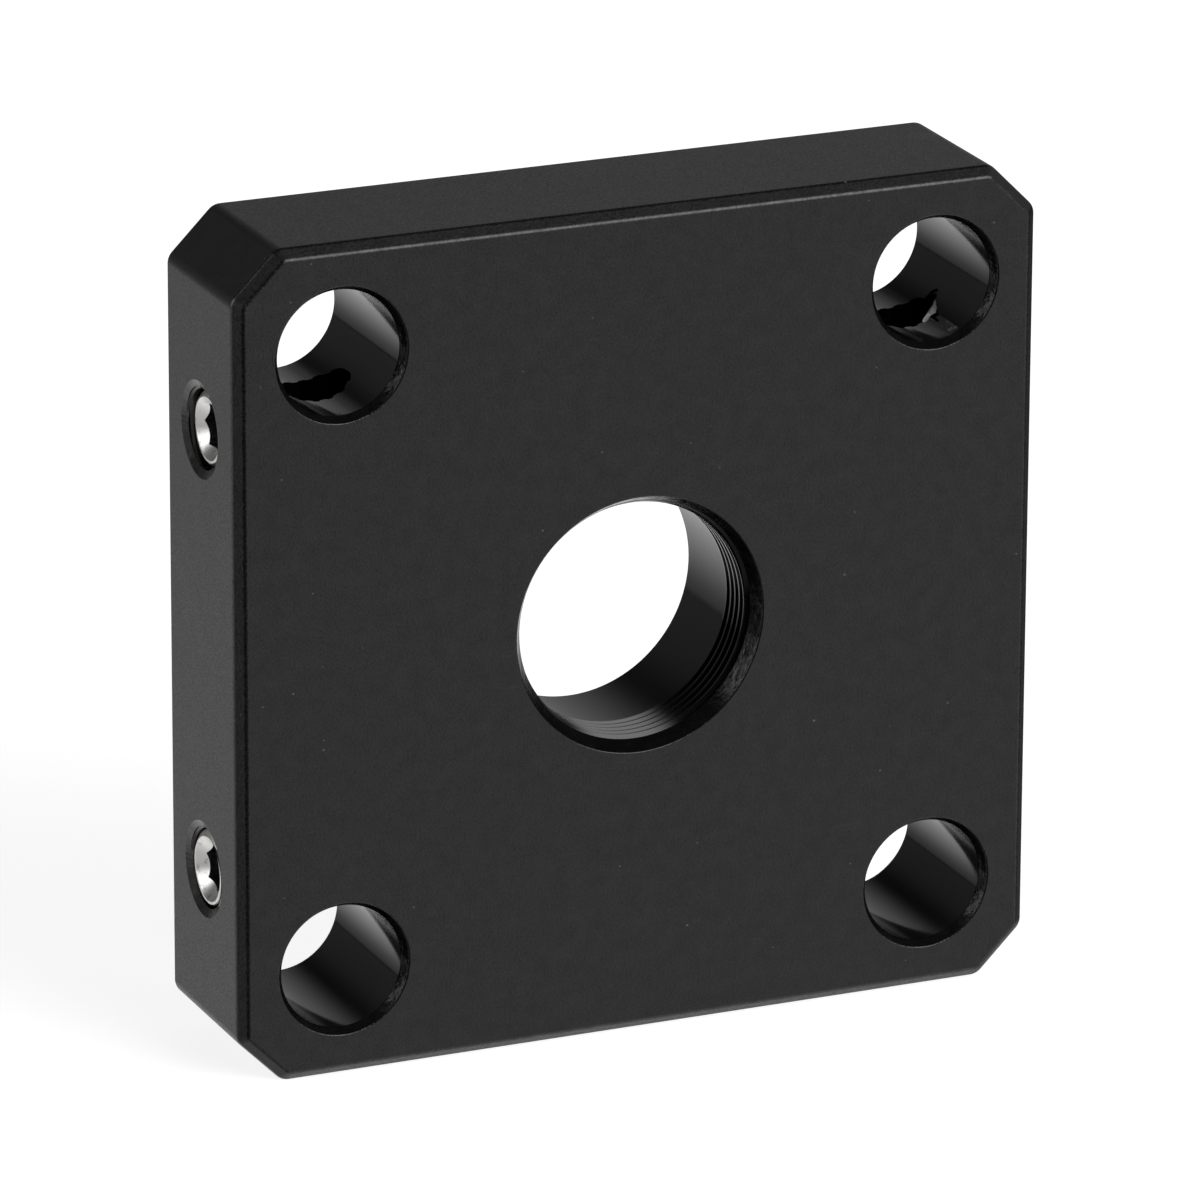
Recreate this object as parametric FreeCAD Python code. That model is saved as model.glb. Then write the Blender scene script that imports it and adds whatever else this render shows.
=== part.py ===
import FreeCAD
import Part
import math
import os

# Square cage plate for an optical bench.
# Four rod bores, one threaded aperture and four setscrews that lock the rods.
# Millimetres. Origin at the centre of the aperture, halfway through the plate.
# X runs across the front, Y through the plate from front to back, Z up.

# Plate
plate_width = 40.6
plate_height = 40.6
plate_thickness = 8.9
corner_leg = 2.3  # each corner is cut off by this much along both sides
corner_blend_radius = 0.8  # softens the two edges of a cut corner
edge_bevel = 0.47  # runs round the front face and the back face

# Rod bores, on a square about the aperture
rod_spacing = 30.0
rod_diameter = 6.0
rod_clearance = 0.02
rod_mouth_flare = 0.26  # how much wider the mouth is than the bore, in radius
rod_mouth_depth = 0.45

# Threaded aperture, stepping out to a wider plain bore behind the thread
aperture_thread_diameter = 12.0
aperture_thread_pitch = 0.5
aperture_mouth_radius = 6.3
aperture_mouth_angle = 60.0
aperture_thread_end = 3.15  # depth below the front face
rear_bore_radius = 6.2
rear_mouth_width = 0.45

# Locking setscrews, two in each side, driven along X beside the rods
screw_thread_diameter = 4.0
screw_length = 3.0
screw_clearance = 0.05
screw_rim_radius = 1.7  # outer edge of the rim round the dished end
screw_rim_width = 0.12
screw_end_chamfer = 0.28  # length of the chamfer outside the rim
screw_tip_radius = 1.2
screw_cup_radius = 0.8
screw_cup_depth = 0.35
screw_bite = 0.8  # how far the screw hole cuts into the rod bore, measured radially
socket_across_flats = 2.0
socket_depth = 1.6
socket_point_angle = 120.0
socket_dish_angle = 98.0  # cone that leads into the hexagon
upper_left_recess = 0.4
lower_left_recess = 0.2
right_recess = 0.3
upper_left_turn = 32.0  # where each hexagon came to rest when its screw was set
lower_left_turn = 0.0
upper_right_turn = 17.0
lower_right_turn = 48.0

# Screw holes
screw_hole_mouth_radius = 2.33
screw_hole_mouth_angle = 120.0
screw_hole_overrun = 1.2  # full thread past the far edge of the rod bore
drill_point_angle = 118.0

# Sizes that follow from the ones above
basic_minor_ratio = 1.0825  # thread height of a metric thread, both sides, over its pitch
cut_past = 1.0  # how far a cutting tool runs past the face it enters
same_plane = 1e-6  # points this close to a plane count as lying in it
half_width = plate_width / 2
half_height = plate_height / 2
half_thickness = plate_thickness / 2
front = -half_thickness
rod_offset = rod_spacing / 2
rod_bore_radius = rod_diameter / 2 + rod_clearance
aperture_minor_radius = (aperture_thread_diameter - basic_minor_ratio * aperture_thread_pitch) / 2
screw_hole_radius = screw_thread_diameter / 2
screw_radius = screw_hole_radius - screw_clearance
screw_offset = rod_offset - rod_bore_radius - screw_hole_radius + screw_bite
screw_hole_depth = half_width - rod_offset + rod_bore_radius + screw_hole_overrun


def point(x, y, z):
    return FreeCAD.Vector(x, y, z)


def cone_depth(width, angle):
    """Length of a cone that narrows by width in radius, with this full angle."""
    return width / math.tan(math.radians(angle / 2))


def turned(profile, origin, direction):
    """Solid of revolution from (distance along the axis, radius) pairs."""
    wire = Part.makePolygon([point(radius, 0, along) for along, radius in profile + profile[:1]])
    solid = Part.Face(wire).revolve(point(0, 0, 0), point(0, 0, 1), 360)
    turn = FreeCAD.Rotation(point(0, 0, 1), direction)
    solid.Placement = FreeCAD.Placement(origin, turn)
    return solid


def plate_outline():
    """Square with cut corners, whose eight edges are blended by small arcs."""
    corners = []
    for sx, sz in ((1, 1), (-1, 1), (-1, -1), (1, -1)):
        on_top = point(sx * (half_width - corner_leg), front, sz * half_height)
        on_side = point(sx * half_width, front, sz * (half_height - corner_leg))
        corners += [on_side, on_top] if sx == sz else [on_top, on_side]
    half_turn = math.radians(45 / 2)  # a cut corner turns the outline by 45 degrees twice
    reach = corner_blend_radius * math.tan(half_turn)
    cut_in = corner_blend_radius * (1 / math.cos(half_turn) - 1)
    edges = []
    blends = []
    for index, corner in enumerate(corners):
        before = (corners[index - 1] - corner).normalize()
        after = (corners[(index + 1) % len(corners)] - corner).normalize()
        inward = (before + after).normalize()
        blends.append((corner + before * reach, corner + inward * cut_in, corner + after * reach))
    for index, (start, middle, end) in enumerate(blends):
        edges.append(Part.LineSegment(blends[index - 1][2], start).toShape())
        edges.append(Part.Arc(start, middle, end).toShape())
    return Part.Wire(edges)


def plate_blank():
    """The bevelled block before any hole is cut."""
    block = Part.Face(plate_outline()).extrude(point(0, plate_thickness, 0))
    rim = []
    for edge in block.Edges:
        depths = [vertex.Point.y for vertex in edge.Vertexes]
        if max(depths) - min(depths) < same_plane:
            rim.append(edge)
    return block.makeChamfer(edge_bevel, rim)


def rod_bore(sx, sz):
    """Through bore with a steep countersink at both mouths."""
    mouth = rod_bore_radius + rod_mouth_flare
    profile = [(-cut_past, 0), (-cut_past, mouth), (0, mouth),
               (rod_mouth_depth, rod_bore_radius),
               (plate_thickness - rod_mouth_depth, rod_bore_radius),
               (plate_thickness, mouth), (plate_thickness + cut_past, mouth),
               (plate_thickness + cut_past, 0)]
    return turned(profile, point(sx * rod_offset, front, sz * rod_offset), point(0, 1, 0))


def aperture():
    """Countersunk threaded length, then a wider bore that runs out at the back."""
    lead_in = cone_depth(aperture_mouth_radius - aperture_minor_radius, aperture_mouth_angle)
    rear_mouth = rear_bore_radius + rear_mouth_width
    profile = [(-cut_past, 0), (-cut_past, aperture_mouth_radius), (0, aperture_mouth_radius),
               (lead_in, aperture_minor_radius), (aperture_thread_end, aperture_minor_radius),
               (aperture_thread_end, rear_bore_radius),
               (plate_thickness - rear_mouth_width, rear_bore_radius),
               (plate_thickness, rear_mouth), (plate_thickness + cut_past, rear_mouth),
               (plate_thickness + cut_past, 0)]
    return turned(profile, point(0, front, 0), point(0, 1, 0))


def screw_hole(sx, sz):
    """Blind tapped hole that runs beside the rod bore and breaks into it."""
    mouth_depth = cone_depth(screw_hole_mouth_radius - screw_hole_radius, screw_hole_mouth_angle)
    point_depth = cone_depth(screw_hole_radius, drill_point_angle)
    profile = [(-cut_past, 0), (-cut_past, screw_hole_mouth_radius), (0, screw_hole_mouth_radius),
               (mouth_depth, screw_hole_radius), (screw_hole_depth, screw_hole_radius),
               (screw_hole_depth + point_depth, 0)]
    return turned(profile, point(sx * half_width, 0, sz * screw_offset), point(-sx, 0, 0))


def plate():
    holes = [aperture()]
    for sx in (-1, 1):
        for sz in (-1, 1):
            holes += [rod_bore(sx, sz), screw_hole(sx, sz)]
    return plate_blank().cut(holes)


def hex_socket(turn):
    """Broached hexagon with a drilled point at its floor, opening at zero depth."""
    sides = 6
    step = 2 * math.pi / sides
    corner_radius = socket_across_flats / 2 / math.cos(step / 2)
    corners = []
    for index in range(sides + 1):
        angle = math.radians(turn) + index * step
        corners.append(point(corner_radius * math.cos(angle), corner_radius * math.sin(angle), -cut_past))
    prism = Part.Face(Part.makePolygon(corners)).extrude(point(0, 0, socket_depth + cut_past))
    drilled = socket_across_flats / 2
    drill_point = Part.makeCone(drilled, 0, cone_depth(drilled, socket_point_angle),
                                point(0, 0, socket_depth), point(0, 0, 1))
    return prism.fuse(drill_point)


def lock_screw(sx, sz, recess, turn):
    """Cup-point setscrew with a dished socket end, set below the side face by its recess."""
    tip_chamfer = screw_radius - screw_tip_radius
    dish_radius = screw_rim_radius - screw_rim_width
    profile = [(cone_depth(dish_radius, socket_dish_angle), 0), (0, dish_radius),
               (0, screw_rim_radius), (screw_end_chamfer, screw_radius),
               (screw_length - tip_chamfer, screw_radius), (screw_length, screw_tip_radius),
               (screw_length, screw_cup_radius), (screw_length - screw_cup_depth, 0)]
    inward = point(-sx, 0, 0)
    origin = point(sx * (half_width - recess), 0, sz * screw_offset)
    socket = hex_socket(turn)
    socket.Placement = FreeCAD.Placement(origin, FreeCAD.Rotation(point(0, 0, 1), inward))
    return turned(profile, origin, inward).cut(socket)


parts = {
    "plate": plate(),
    "lock_screw_upper_left": lock_screw(-1, 1, upper_left_recess, upper_left_turn),
    "lock_screw_lower_left": lock_screw(-1, -1, lower_left_recess, lower_left_turn),
    "lock_screw_upper_right": lock_screw(1, 1, right_recess, upper_right_turn),
    "lock_screw_lower_right": lock_screw(1, -1, right_recess, lower_right_turn),
}

os.makedirs("parts", exist_ok=True)
for name, shape in parts.items():
    shape.exportStep(f"parts/{name}.step")
    print(name, "valid" if shape.isValid() else "INVALID", round(shape.Volume, 2), "mm3")
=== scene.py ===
import math
import bpy
from mathutils import Matrix, Vector


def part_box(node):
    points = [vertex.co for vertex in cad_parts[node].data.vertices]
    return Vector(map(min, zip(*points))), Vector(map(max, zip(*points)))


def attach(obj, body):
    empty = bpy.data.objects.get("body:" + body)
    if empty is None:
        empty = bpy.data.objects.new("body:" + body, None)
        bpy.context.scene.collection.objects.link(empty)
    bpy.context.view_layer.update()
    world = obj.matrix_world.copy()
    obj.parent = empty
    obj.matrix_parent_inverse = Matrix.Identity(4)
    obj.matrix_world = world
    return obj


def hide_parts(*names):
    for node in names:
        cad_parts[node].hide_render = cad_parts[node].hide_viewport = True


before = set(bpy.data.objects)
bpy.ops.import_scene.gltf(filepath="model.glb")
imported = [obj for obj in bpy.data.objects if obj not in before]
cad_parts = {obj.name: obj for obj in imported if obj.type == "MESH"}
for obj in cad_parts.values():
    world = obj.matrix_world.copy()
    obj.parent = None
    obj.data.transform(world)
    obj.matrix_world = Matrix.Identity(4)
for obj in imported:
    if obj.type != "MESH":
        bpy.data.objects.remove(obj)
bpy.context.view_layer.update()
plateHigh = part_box("plate")[1]

mm = 0.001  # shapes are built in millimetres and brought to metres when they are placed
scene = bpy.context.scene
scene.view_settings.view_transform = "Standard"


# shared helpers

def newPiece(name, points, faces, material=None):
    mesh = bpy.data.meshes.new(name)
    mesh.from_pydata(points, [], faces)
    mesh.uv_layers.new(name="lathe", do_init=False)
    mesh.update()
    piece = bpy.data.objects.new(name, mesh)
    scene.collection.objects.link(piece)
    if material:
        mesh.materials.append(material)
    return piece


def settle(piece):
    # applies the modifiers and leaves a plain mesh
    graph = bpy.context.evaluated_depsgraph_get()
    mesh = bpy.data.meshes.new_from_object(
        piece.evaluated_get(graph), preserve_all_data_layers=True, depsgraph=graph)
    piece.modifiers.clear()
    piece.data = mesh
    mesh.name = piece.name
    return piece


def discard(pieces):
    for piece in pieces:
        bpy.data.objects.remove(piece)


def combine(piece, tools, operation):
    group = bpy.data.collections.new("tools")
    for tool in tools:
        group.objects.link(tool)
    modifier = piece.modifiers.new("combine", "BOOLEAN")
    modifier.operation = operation
    modifier.solver = "EXACT"
    modifier.operand_type = "COLLECTION"
    modifier.collection = group
    modifier.material_mode = "TRANSFER"
    settle(piece)
    discard(tools)
    bpy.data.collections.remove(group)
    return piece


def roundCorners(path, steps=5):
    # path holds (a, b) points; one with a third value is replaced by an arc of that radius
    out = []
    for index, corner in enumerate(path):
        radius = corner[2] if len(corner) > 2 else 0
        if not radius:
            out.append(tuple(corner[:2]))
            continue
        here = Vector(corner[:2])
        before = (Vector(path[index - 1][:2]) - here).normalized()
        after = (Vector(path[(index + 1) % len(path)][:2]) - here).normalized()
        half = before.angle(after) / 2
        middle = here + (before + after).normalized() * radius / math.sin(half)
        start = here + before * radius / math.tan(half) - middle
        end = here + after * radius / math.tan(half) - middle
        sweep = start.angle_signed(end)
        for step in range(steps + 1):
            turn = -sweep * step / steps
            spun = Matrix.Rotation(turn, 2) @ start
            out.append(tuple(middle + spun))
    return out


def turned(name, profile, segments, material=None):
    # solid of revolution about Z from (height, radius) points that start and end on the axis;
    # its map holds the angle as a fraction of a turn, and the distance along the profile
    points = []
    rings = []
    travelled = [0]
    for before, after in zip(profile, profile[1:]):
        travelled.append(travelled[-1] + math.dist(before, after))
    for height, radius in profile:
        if radius < 1e-9:
            rings.append([len(points)] * segments)
            points.append((0, 0, height))
            continue
        rings.append([len(points) + index for index in range(segments)])
        for index in range(segments):
            angle = 2 * math.pi * index / segments
            points.append((radius * math.cos(angle), radius * math.sin(angle), height))
    faces = []
    places = []
    for level, (here, after) in enumerate(zip(rings, rings[1:])):
        for index in range(segments):
            following = (index + 1) % segments
            corners = {}
            around = ((here, index, 0), (here, following, 0), (after, following, 1), (after, index, 1))
            for ring, side, step in around:
                turn = (index if side == index else index + 1) / segments
                corners.setdefault(ring[side], (turn, travelled[level + step]))
            faces.append(list(corners))
            places += corners.values()
    piece = newPiece(name, points, faces, material)
    for corner, place in zip(piece.data.uv_layers["lathe"].data, places):
        corner.uv = place
    return piece


def paintMouths(piece, material, near, far=None):
    # faces of a cutter before near, and past far, get the mouths' finish
    piece.data.materials.append(material)
    for face in piece.data.polygons:
        if face.center.z < near or (far and face.center.z > far):
            face.material_index = 1


def axisAt(origin, direction):
    # matrix that lays local Z along direction, with its foot at origin
    return Matrix.Translation(origin) @ Vector(direction).to_track_quat("Z", "Y").to_matrix().to_4x4()


def laid(piece, matrix):
    piece.data.transform(matrix)
    piece.data.update()
    return piece


def place(piece, body, slot, *nodes):
    piece.data.transform(Matrix.Scale(mm, 4))
    piece.data.update()
    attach(piece, body)
    if nodes:
        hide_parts(*nodes)


def smoothFaces(piece, angle):
    # smooth surfaces with sharp edges past the angle, and flat faces that keep their own normal
    piece.data.polygons.foreach_set("use_smooth", [True] * len(piece.data.polygons))
    piece.data.set_sharp_from_angle(angle=math.radians(angle))
    modifier = piece.modifiers.new("weighted", "WEIGHTED_NORMAL")
    modifier.keep_sharp = True
    modifier.weight = 100
    settle(piece)


def builder(tree):
    # adds a node with its settings; its inputs are values or other nodes' outputs
    def add(kind, inputs, **settings):
        made = tree.nodes.new(kind)
        for key, value in settings.items():
            setattr(made, key, value)
        for key, value in inputs.items():
            if isinstance(value, bpy.types.NodeSocket):
                tree.links.new(value, made.inputs[key])
            else:
                made.inputs[key].default_value = value
        return made.outputs
    return add


def maths(add, operation, *values):
    return add("ShaderNodeMath", dict(enumerate(values)), operation=operation)[0]


# thread: a ridge that climbs a spiral, from one tree of nodes, used as cutter and as screw thread

def threadTree():
    tree = bpy.data.node_groups.new("threadRidge", "GeometryNodeTree")
    sockets = [("Root radius", 1.0), ("Crest radius", 1.2), ("Pitch", 0.5), ("Turns", 4.0),
               ("Root width", 0.4), ("Crest width", 0.06)]
    for label, value in sockets:
        socket = tree.interface.new_socket(label, in_out="INPUT", socket_type="NodeSocketFloat")
        socket.default_value = value
    points = tree.interface.new_socket("Points per turn", in_out="INPUT", socket_type="NodeSocketInt")
    points.default_value = 64
    tree.interface.new_socket("Material", in_out="INPUT", socket_type="NodeSocketMaterial")
    tree.interface.new_socket("Geometry", in_out="OUTPUT", socket_type="NodeSocketGeometry")
    add = builder(tree)
    given = add("NodeGroupInput", {})
    spiral = add("GeometryNodeCurveSpiral", {
        "Resolution": given["Points per turn"], "Rotations": given["Turns"],
        "Start Radius": given["Root radius"], "End Radius": given["Root radius"],
        "Height": maths(add, "MULTIPLY", given["Pitch"], given["Turns"]), "Reverse": True})["Curve"]
    upright = add("GeometryNodeSetCurveNormal", {"Curve": spiral}, mode="Z_UP")["Curve"]
    height = maths(add, "SUBTRACT", given["Crest radius"], given["Root radius"])
    corners = {}
    for number, (width, side, outer) in enumerate((("Root width", 0.5, 0), ("Root width", -0.5, 0),
                                                   ("Crest width", -0.5, 1), ("Crest width", 0.5, 1)), 1):
        corners[f"Point {number}"] = add("ShaderNodeCombineXYZ", {
            "X": maths(add, "MULTIPLY", height, outer),
            "Y": maths(add, "MULTIPLY", given[width], side)})[0]
    section = add("GeometryNodeCurvePrimitiveQuadrilateral", corners, mode="POINTS")["Curve"]
    sweep = add("GeometryNodeCurveToMesh", {"Curve": upright, "Profile Curve": section,
                                            "Fill Caps": True})["Mesh"]
    real = add("GeometryNodeRealizeInstances", {"Geometry": sweep})["Geometry"]
    paint = add("GeometryNodeSetMaterial", {"Geometry": real, "Material": given["Material"]})["Geometry"]
    add("NodeGroupOutput", {"Geometry": paint})
    return tree


ridgeTree = threadTree()


def threadRidge(name, sizes, material):
    piece = newPiece(name, [], [])
    modifier = piece.modifiers.new("ridge", "NODES")
    modifier.node_group = ridgeTree
    sockets = [item for item in ridgeTree.interface.items_tree if item.in_out == "INPUT"]
    identifiers = {socket.name: socket.identifier for socket in sockets}
    for label, value in sizes.items():
        modifier[identifiers[label]] = value
    modifier[identifiers["Material"]] = material
    settle(piece)
    return piece


# finishes, all made from nodes in the piece's own coordinates

finishes = {
    "blasted": {
        "color": (0.0055, 0.0085),  # darkest and lightest
        "gloss": (0.41, 0.58),
        "roughness": (0.32, 0.54),
        "wornRoughness": -0.14,  # added on the rounded edges
        "wornGloss": 0.20,
        "wornGrain": -0.75,
        "grainSize": 0.12,
        "grainDepth": 0.013,
        "cloudSize": 0.9,
        "mottle": (0.95, 0.45),  # how much of the grain and of the clouds goes into the gloss
        "mottleEdge": (0.5, 0.9),
        "nickSize": 0.25,
        "nickEdge": (0.40, 0.62),
        "speckSize": 0.5,
        "speckEdge": (0.08, 0.14),  # where a speck starts to fade and where it ends
        "speckShare": 0.045,
        "speckColor": 0.16,
        "scratchLength": 2.5,
        "scratchThinness": 22,  # length over width
        "scratchEdge": (0.75, 0.80),
        "scratchTilt": 9,
        "scratchColor": 0.010,
    },
    # tool marks: how fine they are round the bore and along it, their depth,
    # and how strong the lines down a mouth's slope are
    "boredBlack": {"color": 0.006, "roughness": (0.10, 0.16), "marks": (1.2, 20),
                   "depth": 0.0006, "lines": 0},
    "rearBlack": {"color": 0.006, "roughness": (0.13, 0.20), "marks": (1.2, 20),
                  "depth": 0.0006, "lines": 0},
    "mouthBlack": {"color": 0.006, "roughness": (0.14, 0.30), "marks": (9, 1.5),
                   "depth": 0.030, "lines": 0.10},
    "rodMouthBlack": {"color": 0.0065, "roughness": (0.18, 0.36), "marks": (4.3, 1.5),
                      "depth": 0.080, "lines": 0.04},
    "lineStretch": (60, 60, 0.6),  # how fine those lines are in each direction
    "screwSteel": {"metal": 1, "color": (0.80, 0.79, 0.77), "stain": (0.42, 0.41, 0.40),
                   "roughness": (0.30, 0.44), "depth": 0.0012},
    # steel for the inside of the hex socket, much darker than the screw's own: painted shade for the depth of
    # the socket
    "socketSteelPaintedShade": {"metal": 1, "color": (0.20, 0.20, 0.20), "stain": (0.05, 0.05, 0.05),
                    "roughness": (0.25, 0.40), "depth": 0.002},
    "bareMetal": {"metal": 0.3, "color": (0.88, 0.88, 0.87), "stain": (0.50, 0.50, 0.50),
                  "roughness": (0.30, 0.45), "depth": 0.003},
    "steelStretch": (2, 2, 25),
    "stainSize": 0.45,
    "stainEdge": (0.56, 0.72),
}


def remap(add, value, low, high, least, most):
    return add("ShaderNodeMapRange", {"Value": value, "From Min": low, "From Max": high,
                                      "To Min": least, "To Max": most})["Result"]


middling = (0.3, 0.7)  # noise mostly lies between these


def noise(add, place, scale, detail):
    return add("ShaderNodeTexNoise", {"Vector": place, "Scale": scale, "Detail": detail,
                                      "Roughness": 0.6})["Fac"]


def stretched(add, place, scale, turn=0):
    return add("ShaderNodeMapping", {"Vector": place, "Rotation": (0, math.radians(turn), 0),
                                     "Scale": scale})[0]


def newMaterial(name):
    material = bpy.data.materials.new(name)
    material.use_nodes = True
    shader = material.node_tree.nodes["Principled BSDF"]
    return material, builder(material.node_tree), shader.inputs, material.node_tree.links.new


def bumped(add, height, depth, strength=1.0):
    return add("ShaderNodeBump", {"Height": height, "Distance": depth * mm, "Strength": strength})["Normal"]


def blastedFinish(name, values):
    # matt grain with faint clouds, a few specks and scratches, and polished edges
    material, add, surface, link = newMaterial(name)
    where = add("ShaderNodeTexCoord", {})["Object"]
    worn = add("ShaderNodeSeparateXYZ", {"Vector": add("ShaderNodeUVMap", {}, uv_map="lathe")["UV"]})["X"]
    grain = noise(add, where, 1 / (values["grainSize"] * mm), 2)
    cloud = noise(add, where, 1 / (values["cloudSize"] * mm), 5)
    nick = noise(add, where, 1 / (values["nickSize"] * mm), 2)
    grainPart, cloudPart = values["mottle"]
    mottle = maths(add, "MULTIPLY_ADD", grain, grainPart, maths(add, "MULTIPLY", cloud, cloudPart))
    cell = add("ShaderNodeTexVoronoi", {"Vector": where, "Scale": 1 / (values["speckSize"] * mm)})
    chosen = add("ShaderNodeSeparateColor", {"Color": cell["Color"]})["Red"]
    speck = maths(add, "MULTIPLY", remap(add, cell["Distance"], *values["speckEdge"], 1, 0),
                  remap(add, chosen, 1 - values["speckShare"], 1, 0, values["speckColor"]))
    long = 1 / (values["scratchLength"] * mm)
    thin = long * values["scratchThinness"]
    scratch = noise(add, stretched(add, where, (long, long, thin), values["scratchTilt"]), 1, 1)
    marks = maths(add, "ADD", speck, remap(add, scratch, *values["scratchEdge"], 0, values["scratchColor"]))
    link(maths(add, "ADD", remap(add, cloud, *middling, *values["color"]), marks), surface["Base Color"])
    edge = maths(add, "MULTIPLY", worn, remap(add, nick, *values["nickEdge"], 0, values["wornGloss"]))
    gloss = remap(add, mottle, *values["mottleEdge"], *values["gloss"])
    link(maths(add, "ADD", gloss, edge), surface["Specular IOR Level"])
    rough = remap(add, grain, *middling, *values["roughness"])
    link(maths(add, "MULTIPLY_ADD", worn, values["wornRoughness"], rough), surface["Roughness"])
    smoothed = maths(add, "MULTIPLY_ADD", worn, values["wornGrain"], 1)
    link(bumped(add, grain, values["grainDepth"], smoothed), surface["Normal"])
    return material


def lathePlace(add):
    # the map's angle and distance along the profile, as a place that joins up all the way round
    parts = add("ShaderNodeSeparateXYZ", {"Vector": add("ShaderNodeUVMap", {}, uv_map="lathe")["UV"]})
    turn = maths(add, "MULTIPLY", parts["X"], 2 * math.pi)
    return add("ShaderNodeCombineXYZ", {"X": maths(add, "COSINE", turn), "Y": maths(add, "SINE", turn),
                                        "Z": parts["Y"]})[0]


def turnedFinish(name, values):
    # smooth black surface with the marks of the tool that turned round it
    material, add, surface, link = newMaterial(name)
    place = lathePlace(add)
    around, across = values["marks"]
    marks = noise(add, stretched(add, place, (around, around, across)), 1, 3)
    height = marks
    if values["lines"]:
        lines = noise(add, stretched(add, place, finishes["lineStretch"]), 1, 1)
        height = maths(add, "MULTIPLY_ADD", lines, values["lines"], marks)
    surface["Base Color"].default_value = (values["color"],) * 3 + (1,)
    link(remap(add, marks, *middling, *values["roughness"]), surface["Roughness"])
    link(bumped(add, height, values["depth"]), surface["Normal"])
    return material


def steelFinish(name, values):
    # bare metal with fine turning marks and darker patches
    material, add, surface, link = newMaterial(name)
    marks = noise(add, stretched(add, lathePlace(add), finishes["steelStretch"]), 1, 2)
    stain = noise(add, add("ShaderNodeTexCoord", {})["Object"], 1 / (finishes["stainSize"] * mm), 4)
    surface["Metallic"].default_value = values["metal"]
    tone = add("ShaderNodeMixRGB", {"Fac": remap(add, stain, *finishes["stainEdge"], 0, 1),
                                    "Color1": (*values["color"], 1), "Color2": (*values["stain"], 1)})[0]
    link(tone, surface["Base Color"])
    link(remap(add, marks, *middling, *values["roughness"]), surface["Roughness"])
    link(bumped(add, marks, values["depth"]), surface["Normal"])
    return material


blastedBlack = blastedFinish("blastedBlack", finishes["blasted"])
boredBlack, rearBlack, mouthBlack, rodMouthBlack = [
    turnedFinish(name, finishes[name]) for name in ("boredBlack", "rearBlack", "mouthBlack", "rodMouthBlack")]
screwSteel, socketSteelPaintedShade, bareMetal = [
    steelFinish(name, finishes[name]) for name in ("screwSteel", "socketSteelPaintedShade", "bareMetal")]
print("finishes made")


# plate

plate = {
    "cornerLeg": 2.3,
    "cornerBlend": 0.8,
    "edgeBevel": 0.47,
    "edgeRound": 0.30,  # edges softened by the bead blasting
    "cornerSteps": 8,
    "rodOffset": 15.0,
    "rodRadius": 3.02,
    "rodMouthRadius": 3.28,
    "rodMouthDepth": 0.45,
    "rodMouthRound": 0.09,
    "rodSegments": 128,
    "threadRadius": 6.0,
    "threadMinorRadius": 5.73,
    "threadPitch": 0.5,
    "threadFlank": 30.0,  # slope of each side of a groove, in degrees from square to the axis
    "threadFoot": 0.06,  # how far the ridge that cuts the groove starts inside the bore
    "threadEnd": 3.15,
    "mouthRadius": 6.3,
    "mouthDepth": 0.988,
    "mouthRound": 0.08,
    "rearRadius": 6.2,
    "rearMouthWidth": 0.45,
    "apertureSegments": 192,
    "holeOffset": 10.78,
    "holeRadius": 1.92,
    "holeThreadRadius": 2.03,
    "holePitch": 0.7,
    "holeGroove": (0.75, 0.35),  # width of its groove at the wall and at the bottom, over the pitch
    "holeThreadFoot": 0.05,
    "holeThreadRunout": 0.2,  # smooth wall left at the bottom of the hole
    "holeMouthRadius": 2.33,
    "holeMouthDepth": 0.19,
    "holeMouthRound": 0.03,
    "holeDepth": 9.5,
    "holePointDepth": 1.15,
    "holeSegments": 96,
}
# the upper right screw hole tore the bore's wall where it breaks through: a notch, and a burr of bare metal
tear = {
    "notchPlace": (-47.0, 0.20),  # angle round the bore, and depth through the plate
    "notchRadius": 0.48,
    "notchDepth": 0.5,
    "notchSides": 7,
    "notchProfile": [(0.2, 0.8), (0.5, 1)],  # part of the depth, and part of the radius there
    # along the burr: its free edge as an angle round the bore, a depth and its lift off the wall,
    # then its root's angle and depth
    "burrEdges": [(-49.9, -0.32, 0.04, -48.9, -0.32), (-52.7, -0.57, 0.11, -51.1, -0.58),
                  (-56.4, -0.82, 0.14, -54.4, -0.84), (-61.2, -1.12, 0.25, -57.9, -1.17),
                  (-64.1, -1.08, 0.15, -62.6, -1.12), (-68.1, -1.17, 0.13, -66.2, -1.2),
                  (-71.9, -1.31, 0.11, -70.4, -1.35), (-74.4, -1.42, 0.07, -72.6, -1.44)],
    "burrRootLift": 0.02,
    "burrThickness": 0.03,
    "burrFoot": 0.09,  # how far its underside reaches into the wall, clear of the setscrew's path
}
crease = 20  # degrees; an edge that turns more than this stays crisp
past = 1.0  # how far a cutter runs past the face that it enters
sliver = 0.002  # keeps a cutter's brim just clear of the face, so that the rounded edge meets it smoothly

halfWide = plateHigh.x / mm
halfTall = plateHigh.z / mm
halfThick = plateHigh.y / mm
front = -halfThick


def outlineLoop(inset):
    # the plate's outline, moved inwards, as (x, z) points; the cut corners stay at 45 degrees
    p = plate
    leg = p["cornerLeg"] - (2 - math.sqrt(2)) * inset
    wide = halfWide - inset
    tall = halfTall - inset
    blend = p["cornerBlend"] - inset
    corners = []
    for sideX, sideZ in ((1, 1), (-1, 1), (-1, -1), (1, -1)):
        onTop = (sideX * (wide - leg), sideZ * tall, blend)
        onSide = (sideX * wide, sideZ * (tall - leg), blend)
        corners += [onSide, onTop] if sideX == sideZ else [onTop, onSide]
    return roundCorners(corners, p["cornerSteps"])


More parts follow.
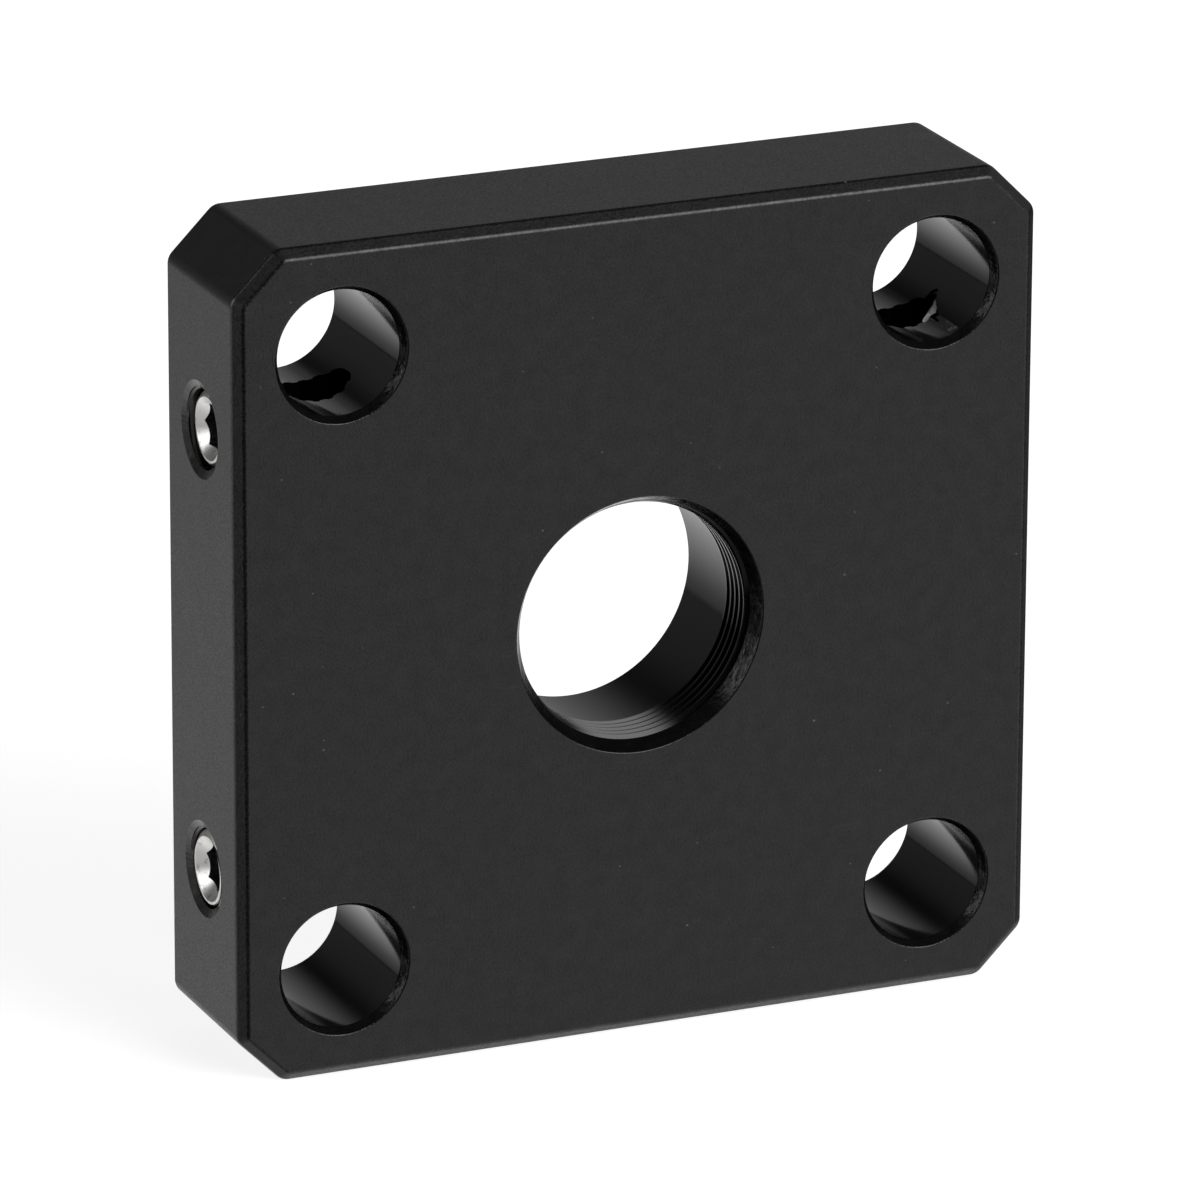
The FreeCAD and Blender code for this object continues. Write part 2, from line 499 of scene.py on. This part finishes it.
def plateShell():
    p = plate
    bevel = p["edgeBevel"]
    soft = p["edgeRound"]
    inner = bevel + 2 * soft  # well inside the bevel, on the flat face
    path = roundCorners([(inner, front), (bevel, front, soft), (0, front + bevel, soft),
                         (0, -front - bevel, soft), (bevel, -front, soft), (inner, -front)])
    path = path[1:-1]
    loops = [[(x, depth, z) for x, z in outlineLoop(inset)] for inset, depth in path]
    size = len(loops[0])
    points = [point for loop in loops for point in loop]
    faces = [list(range(size))]
    for level in range(len(loops) - 1):
        for index in range(size):
            following = (index + 1) % size
            faces.append([level * size + index, (level + 1) * size + index,
                          (level + 1) * size + following, level * size + following])
    last = (len(loops) - 1) * size
    faces.append([last + index for index in reversed(range(size))])
    shell = newPiece("plateBlack", points, faces, blastedBlack)
    # the map's first number is 1 in the middle of each rounded edge, for its wear
    steps = len(path) // 4 - 1
    wear = [math.sin(math.pi * (level % (steps + 1)) / steps) for level in range(len(path))]
    for loop in shell.data.loops:
        shell.data.uv_layers["lathe"].data[loop.index].uv = (wear[loop.vertex_index // size], 0)
    return shell


def rodBore(sideX, sideZ):
    p = plate
    mouth = p["rodMouthRadius"]
    soft = p["rodMouthRound"]
    deep = 2 * halfThick
    path = [(-past, 0), (-past, mouth + past), (-sliver, mouth + past), (0, mouth, soft),
            (p["rodMouthDepth"], p["rodRadius"], soft), (deep - p["rodMouthDepth"], p["rodRadius"], soft),
            (deep, mouth, soft), (deep + sliver, mouth + past), (deep + past, mouth + past), (deep + past, 0)]
    bore = turned("rodBore", roundCorners(path, 3), p["rodSegments"], boredBlack)
    paintMouths(bore, rodMouthBlack, p["rodMouthDepth"], deep - p["rodMouthDepth"])
    return laid(bore, axisAt((sideX * p["rodOffset"], front, sideZ * p["rodOffset"]), (0, 1, 0)))


def aperture():
    p = plate
    mouth = p["mouthRadius"]
    minor = p["threadMinorRadius"]
    rear = p["rearRadius"]
    flare = p["rearMouthWidth"]
    deep = 2 * halfThick
    path = [(-past, 0), (-past, mouth + past), (-sliver, mouth + past), (0, mouth, p["mouthRound"]),
            (p["mouthDepth"], minor), (p["threadEnd"], minor), (p["threadEnd"], rear), (deep - flare, rear),
            (deep, rear + flare, p["mouthRound"]), (deep + sliver, rear + flare + past),
            (deep + past, rear + flare + past), (deep + past, 0)]
    hole = turned("aperture", roundCorners(path, 3), p["apertureSegments"], rearBlack)
    paintMouths(hole, mouthBlack, p["mouthDepth"], deep - flare)
    pitch = p["threadPitch"]
    base = minor - p["threadFoot"]
    slope = math.tan(math.radians(p["threadFlank"]))
    ridge = threadRidge("apertureThread", {
        "Root radius": base, "Crest radius": p["threadRadius"], "Pitch": pitch,
        "Turns": (p["threadEnd"] + 2 * pitch) / pitch,
        "Root width": pitch / 8 + 2 * (p["threadRadius"] - base) * slope,
        "Crest width": pitch / 8, "Points per turn": p["apertureSegments"]}, boredBlack)
    laid(ridge, axisAt((0, front - pitch, 0), (0, 1, 0)))
    return [laid(hole, axisAt((0, front, 0), (0, 1, 0))), ridge]


def screwHole(sideX, sideZ):
    p = plate
    path = [(-past, 0), (-past, p["holeMouthRadius"] + past), (-sliver, p["holeMouthRadius"] + past),
            (0, p["holeMouthRadius"], p["holeMouthRound"]),
            (p["holeMouthDepth"], p["holeRadius"]), (p["holeDepth"], p["holeRadius"]),
            (p["holeDepth"] + p["holePointDepth"], 0)]
    hole = turned("screwHole", roundCorners(path, 3), p["holeSegments"], boredBlack)
    paintMouths(hole, mouthBlack, p["holeMouthDepth"])
    pitch = p["holePitch"]
    wall, bottom = p["holeGroove"]
    ridge = threadRidge("screwHoleThread", {
        "Root radius": p["holeRadius"] - p["holeThreadFoot"], "Crest radius": p["holeThreadRadius"],
        "Pitch": pitch, "Turns": (p["holeDepth"] - p["holeThreadRunout"]) / pitch,
        "Root width": wall * pitch, "Crest width": bottom * pitch,
        "Points per turn": p["holeSegments"]}, boredBlack)
    matrix = axisAt((sideX * halfWide, 0, sideZ * p["holeOffset"]), (-sideX, 0, 0))
    return [laid(hole, matrix), laid(ridge, matrix)]


def onBoreWall(angle, depth, lift):
    # a point in the upper right rod bore, raised from its wall towards the axis
    turn = math.radians(angle)
    radius = plate["rodRadius"] - lift
    offset = plate["rodOffset"]
    return Vector((offset + radius * math.cos(turn), depth, offset + radius * math.sin(turn)))


def notch():
    t = tear
    foot = onBoreWall(*t["notchPlace"], -t["notchDepth"] / 2)
    top = onBoreWall(*t["notchPlace"], t["notchDepth"])
    depth = (top - foot).length
    flank = [(part * depth, wide * t["notchRadius"]) for part, wide in t["notchProfile"]]
    tip = turned("notch", [(0, 0)] + flank + [(depth, 0)], t["notchSides"], boredBlack)
    return laid(tip, axisAt(foot, top - foot))


def burr():
    t = tear
    points = []
    for freeAngle, freeDepth, lift, rootAngle, rootDepth in t["burrEdges"]:
        points += [onBoreWall(freeAngle, freeDepth, lift),
                   onBoreWall(rootAngle, rootDepth, t["burrRootLift"]),
                   onBoreWall(rootAngle, rootDepth - t["burrFoot"], -t["burrThickness"]),
                   onBoreWall(freeAngle, freeDepth, lift - t["burrThickness"])]
    count = len(t["burrEdges"])
    faces = [[0, 1, 2, 3], [4 * count - 1, 4 * count - 2, 4 * count - 3, 4 * count - 4]]
    for level in range(count - 1):
        for side in range(4):
            here, after = 4 * level + side, 4 * level + (side + 1) % 4
            faces.append([after, here, here + 4, after + 4])
    return newPiece("burr", points, faces, bareMetal)


sides = [(sideX, sideZ) for sideX in (-1, 1) for sideZ in (-1, 1)]
shell = plateShell()
cutters = aperture()
for sideX, sideZ in sides:
    cutters.append(rodBore(sideX, sideZ))
    cutters += screwHole(sideX, sideZ)
combine(shell, cutters + [notch()], "DIFFERENCE")
combine(shell, [burr()], "UNION")
# a union with so thin a burr can fail and drop the plate, so its width is tested, still in millimetres here
across = [vertex.co.x for vertex in shell.data.vertices]
if not math.isclose(max(across) - min(across), 2 * halfWide, rel_tol=0.001):
    raise RuntimeError("the plate was lost in a cut; change the burr's foot or thickness a little")
smoothFaces(shell, crease)
place(shell, "frame_plate", "black_anodised_aluminium", "plate")
print("plate made:", len(shell.data.polygons), "faces")


# setscrews

screw = {
    "length": 3.0,
    "rimWidth": 0.12,
    "rimRound": 0.03,
    "chamferLength": 0.28,
    "rootRadius": 1.5,
    "crestRadius": 1.88,
    "pitch": 0.7,
    "ridge": (0.92, 0.2),  # width of its thread at the root and at the crest, over the pitch
    "ridgeFoot": 0.05,  # how far the thread starts inside the core
    "ridgeTrim": 0.02,  # how far it stands past the crest before the outside is turned down
    "tipRadius": 1.2,
    "cupRadius": 0.8,
    "cupDepth": 0.35,
    "acrossFlats": 2.0,
    "socketDepth": 1.6,
    "dishAngle": 98.0,
    "segments": 96,
}
screwSets = {
    "upper_left": {"side": (-1, 1), "recess": 0.4, "turn": 32.0, "rim": 1.62},
    "lower_left": {"side": (-1, -1), "recess": 0.2, "turn": 48.0, "rim": 1.7},
    "upper_right": {"side": (1, 1), "recess": 0.3, "turn": 17.0, "rim": 1.7},
    "lower_right": {"side": (1, -1), "recess": 0.3, "turn": 48.0, "rim": 1.7},
}


def lockScrew(name, values):
    s = screw
    sideX, sideZ = values["side"]
    dishRadius = values["rim"] - s["rimWidth"]
    dishDepth = dishRadius / math.tan(math.radians(s["dishAngle"] / 2))
    blank = turned(name, [(-past, 0), (-past, s["rootRadius"]), (s["length"] + past, s["rootRadius"]),
                          (s["length"] + past, 0)], s["segments"], screwSteel)
    root, crest = s["ridge"]
    ridge = threadRidge("ridge", {
        "Root radius": s["rootRadius"] - s["ridgeFoot"], "Crest radius": s["crestRadius"] + s["ridgeTrim"],
        "Pitch": s["pitch"], "Turns": s["length"] / s["pitch"] + 2, "Root width": root * s["pitch"],
        "Crest width": crest * s["pitch"], "Points per turn": s["segments"]}, screwSteel)
    laid(ridge, Matrix.Translation((0, 0, -s["pitch"])))
    combine(blank, [ridge], "UNION")
    tipChamfer = s["crestRadius"] - s["tipRadius"]
    envelopePath = [(dishDepth, 0), (0, dishRadius, s["rimRound"]), (0, values["rim"], s["rimRound"]),
                    (s["chamferLength"], s["crestRadius"]), (s["length"] - tipChamfer, s["crestRadius"]),
                    (s["length"], s["tipRadius"]), (s["length"], s["cupRadius"]),
                    (s["length"] - s["cupDepth"], 0)]
    envelope = turned("envelope", roundCorners(envelopePath, 3), s["segments"], screwSteel)
    combine(blank, [envelope], "INTERSECT")
    cornerRadius = s["acrossFlats"] / 2 / math.cos(math.pi / 6)
    path = [(-past, 0), (-past, cornerRadius), (s["socketDepth"], cornerRadius), (s["socketDepth"], 0)]
    # the socket's walls take the darker steel, which is painted shade inside the recess
    socket = turned("socket", path, 6, socketSteelPaintedShade)
    laid(socket, Matrix.Rotation(math.radians(values["turn"]), 4, "Z"))
    combine(blank, [socket], "DIFFERENCE")
    smoothFaces(blank, crease)
    frameMatrix = Matrix(((0, 0, -sideX), (0, 1, 0), (sideX, 0, 0))).to_4x4()
    origin = Matrix.Translation((sideX * (halfWide - values["recess"]), 0, sideZ * plate["holeOffset"]))
    return laid(blank, origin @ frameMatrix)


for corner, values in screwSets.items():
    made = lockScrew(f"setscrew_{corner}", values)
    place(made, f"{corner}_screw", "stainless_steel", f"lock_screw_{corner}")
print("setscrews made")


# camera, at the photograph's angle

view = {
    "position": (-173.3, -397.2, 146.46),
    "aim": (-1.6, -3.34, 1.1),
    "roll": 0.26,
    "lens": 290.8,
}
camera = bpy.data.objects.new("camera", bpy.data.cameras.new("camera"))
scene.collection.objects.link(camera)
camera.location = Vector(view["position"]) * mm
looking = (Vector(view["aim"]) - Vector(view["position"])).to_track_quat("-Z", "Y")
camera.rotation_euler = (looking.to_matrix() @ Matrix.Rotation(math.radians(view["roll"]), 3, "Z")).to_euler()
camera.data.lens = view["lens"]
camera.data.sensor_width = 36
camera.data.clip_start = 0.02
camera.data.clip_end = 20
scene.camera = camera
print("camera set")


# studio: pale floor, white backdrop and soft panels, all far away

studio = {
    "floorHeight": -20.3,
    "floorSize": 6000,
    "floorColor": 0.8,
    "floorGlow": 0.78,
    # where each one lies, its half angle and how far its edge fades, in degrees;
    # a negative strength is a dark card that hides what is behind it
    "backdrop": {
        "near": {"toward": (0, 0, -1), "spread": 56, "fade": 28, "strength": 0.85},
        "far": {"toward": (0, 0, -1), "spread": 84, "fade": 1, "strength": 0.15},
    },
    "panels": {
        "seamBelow": {"toward": (0, 0, -1), "spread": 84.4, "fade": 0.4, "strength": 0.12},
        "seamAbove": {"toward": (0, 0, -1), "spread": 85.6, "fade": 0.4, "strength": -0.12},
        "backLow": {"toward": (-0.45, 0.89, 0.0), "spread": 8, "fade": 30, "strength": 0.10},
        "backRight": {"toward": (0.60, 0.79, 0.13), "spread": 8, "fade": 36, "strength": 0.33},
        "darkFront": {"toward": (-0.60, -0.72, -0.35), "spread": 28, "fade": 50, "strength": -0.85},
        "darkRight": {"toward": (0.88, 0.10, -0.38), "spread": 22, "fade": 25, "strength": -0.60},
        "frontFill": {"toward": (0.50, -0.85, -0.16), "spread": 14, "fade": 34, "strength": 0.42},
        "leftWall": {"toward": (-0.93, 0.25, -0.27), "spread": 29, "fade": 3, "strength": 0.35},
        "leftSide": {"toward": (-0.96, -0.06, -0.25), "spread": 8, "fade": 6, "strength": 1.0},
        "leftKey": {"toward": (-0.93, 0.03, 0.38), "spread": 15, "fade": 12, "strength": 2.2},
        "rightFill": {"toward": (0.95, 0.02, 0.20), "spread": 14, "fade": 24, "strength": 0.5},
        "key": {"toward": (0.42, -0.79, 0.44), "spread": 13, "fade": 14, "strength": 3.6},
        "overhead": {"toward": (0.25, -0.60, 0.76), "spread": 12, "fade": 24, "strength": 0.12},
        "base": {"toward": (0, 0, 1), "spread": 180, "fade": 1, "strength": 0.03},
    },
}


def makeWorld():
    world = bpy.data.worlds.new("studio")
    scene.world = world
    world.use_nodes = True
    background = world.node_tree.nodes["Background"]
    background.inputs["Color"].default_value = (1, 1, 1, 1)
    add = builder(world.node_tree)
    direction = add("ShaderNodeTexCoord", {})["Generated"]

    def light(panels):
        total = 0
        for panel in panels.values():
            toward = add("ShaderNodeVectorMath", {0: direction, 1: Vector(panel["toward"]).normalized()},
                         operation="DOT_PRODUCT")["Value"]
            inner = math.cos(math.radians(min(panel["spread"], 179)))
            outer = panel["spread"] + panel["fade"]
            outer = math.cos(math.radians(outer)) if outer < 180 else -1.01
            soft = add("ShaderNodeMapRange", {"Value": toward, "From Min": outer, "From Max": inner,
                                              "To Min": 0, "To Max": panel["strength"]},
                       interpolation_type="SMOOTHSTEP")["Result"]
            total = maths(add, "ADD", soft, total)
        return total

    # the camera sees white; shiny surfaces see the white backdrop where it lies, and the panels
    ray = add("ShaderNodeLightPath", {})
    shown = maths(add, "MAXIMUM", ray["Is Glossy Ray"], ray["Is Transmission Ray"])
    lit = maths(add, "MULTIPLY_ADD", light(studio["backdrop"]), shown, light(studio["panels"]))
    lit = maths(add, "MAXIMUM", lit, 0)
    strength = add("ShaderNodeMix", {"Factor": ray["Is Camera Ray"], "A": lit, "B": 1})["Result"]
    world.node_tree.links.new(strength, background.inputs["Strength"])


def makeFloor():
    size = studio["floorSize"]
    height = studio["floorHeight"]
    material, add, surface, link = newMaterial("floorWhite")
    surface["Base Color"].default_value = (studio["floorColor"],) * 3 + (1,)
    surface["Roughness"].default_value = 1
    surface["Specular IOR Level"].default_value = 0
    surface["Emission Color"].default_value = (1, 1, 1, 1)
    surface["Emission Strength"].default_value = studio["floorGlow"]
    nodes = material.node_tree.nodes
    # only the camera meets the floor; other rays go on to the backdrop
    mixed = add("ShaderNodeMixShader", {0: add("ShaderNodeLightPath", {})["Is Camera Ray"],
                                        1: add("ShaderNodeBsdfTransparent", {})[0],
                                        2: nodes["Principled BSDF"].outputs[0]})[0]
    link(mixed, nodes["Material Output"].inputs["Surface"])
    corners = [(-size, -size, height), (size, -size, height), (size, size, height), (-size, size, height)]
    floor = newPiece("floor", corners, [(0, 1, 2, 3)], material)
    floor.data.transform(Matrix.Scale(mm, 4))


makeWorld()
makeFloor()
print("studio set")
